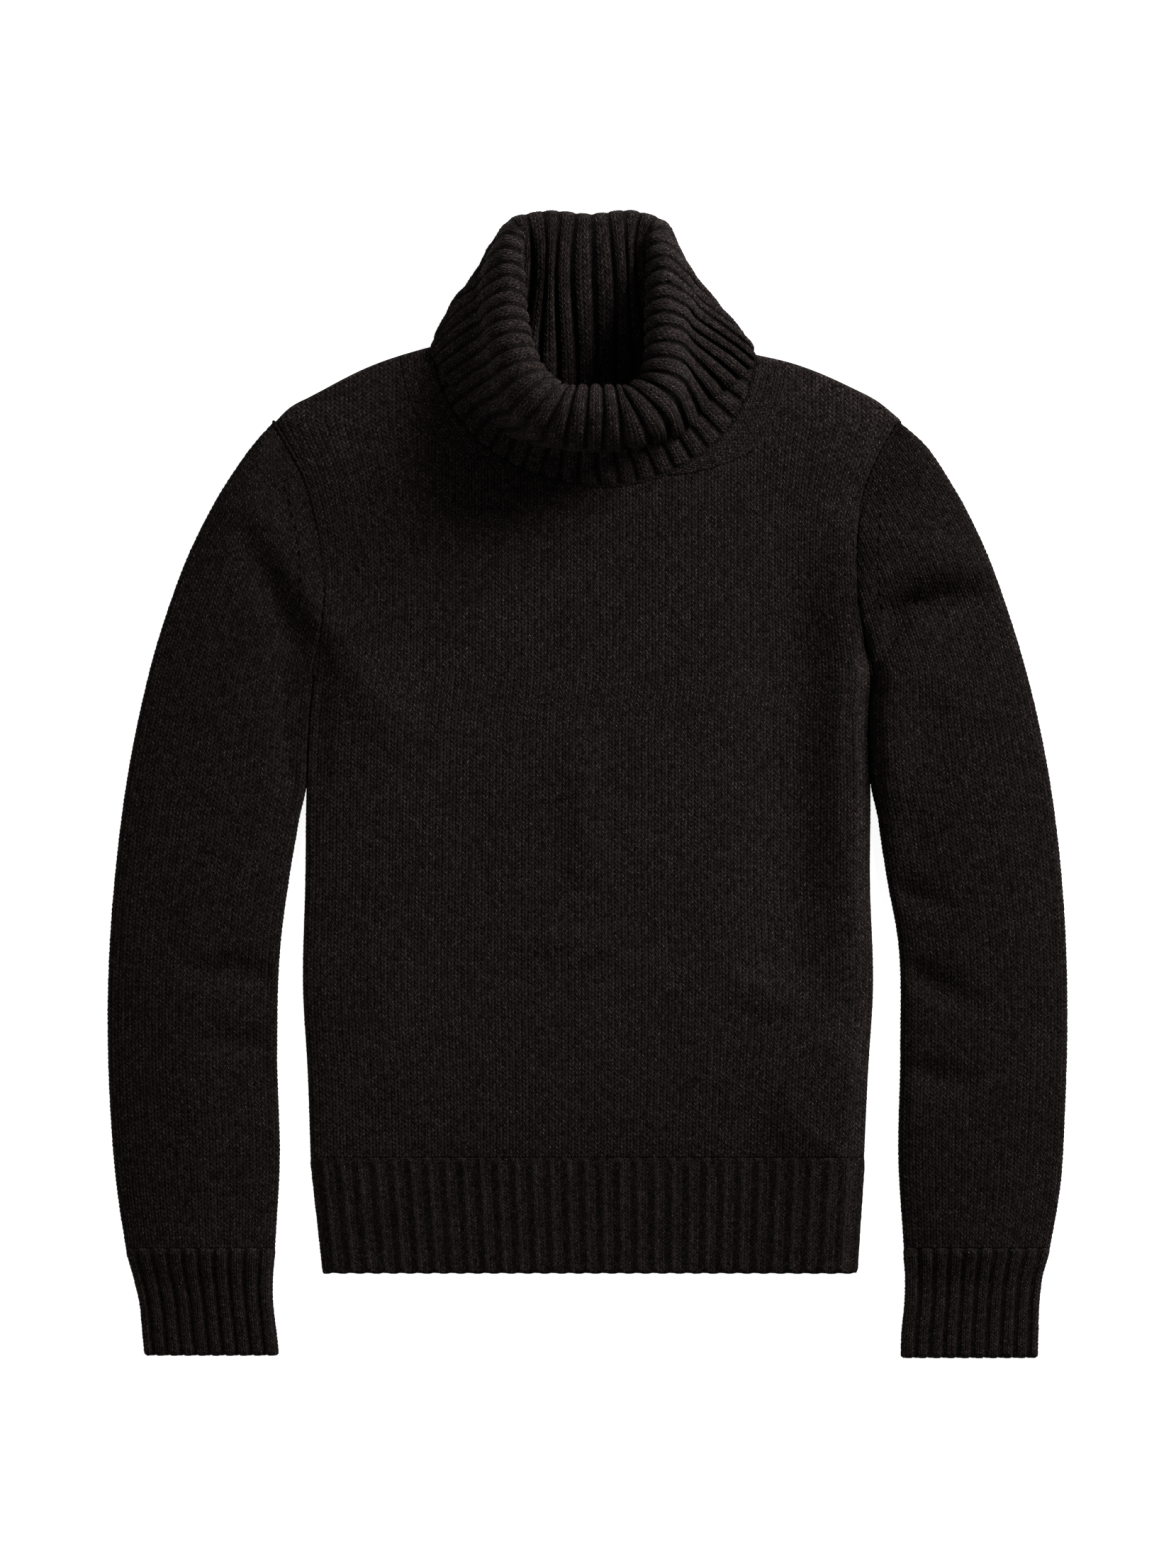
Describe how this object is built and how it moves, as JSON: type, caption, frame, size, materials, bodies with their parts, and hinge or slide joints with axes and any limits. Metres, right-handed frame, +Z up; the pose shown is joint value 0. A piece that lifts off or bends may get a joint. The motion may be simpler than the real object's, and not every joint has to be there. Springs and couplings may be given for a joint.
{
  "type": "turtleneck sweater laid flat",
  "caption": "Fully fashioned knitted turtleneck sweater laid flat on its back, front up, sleeves down beside the body, with the ribbed collar rolled over and standing open.",
  "frame": {"origin": "on the floor under the middle of the sweater's bounding box", "axes": "+X towards the sleeve on the right as seen from the front, +Y from hem to collar, +Z up from the floor, out of the front panel"},
  "size_m": [0.6365, 0.76, 0.0727],
  "materials": {
    "plain_knit": "soft charcoal brown heather wool in plain knit, matt with light flecks",
    "rib_knit": "the same yarn in a two by two rib"
  },
  "bodies": {
    "root": {"back": "plain_knit", "front": "plain_knit", "sleeve_left": "plain_knit", "sleeve_right": "plain_knit", "hem_back": "rib_knit", "hem_front": "rib_knit", "cuff_left": "rib_knit", "cuff_right": "rib_knit", "collar": "rib_knit"}
  },
  "joints": []
}
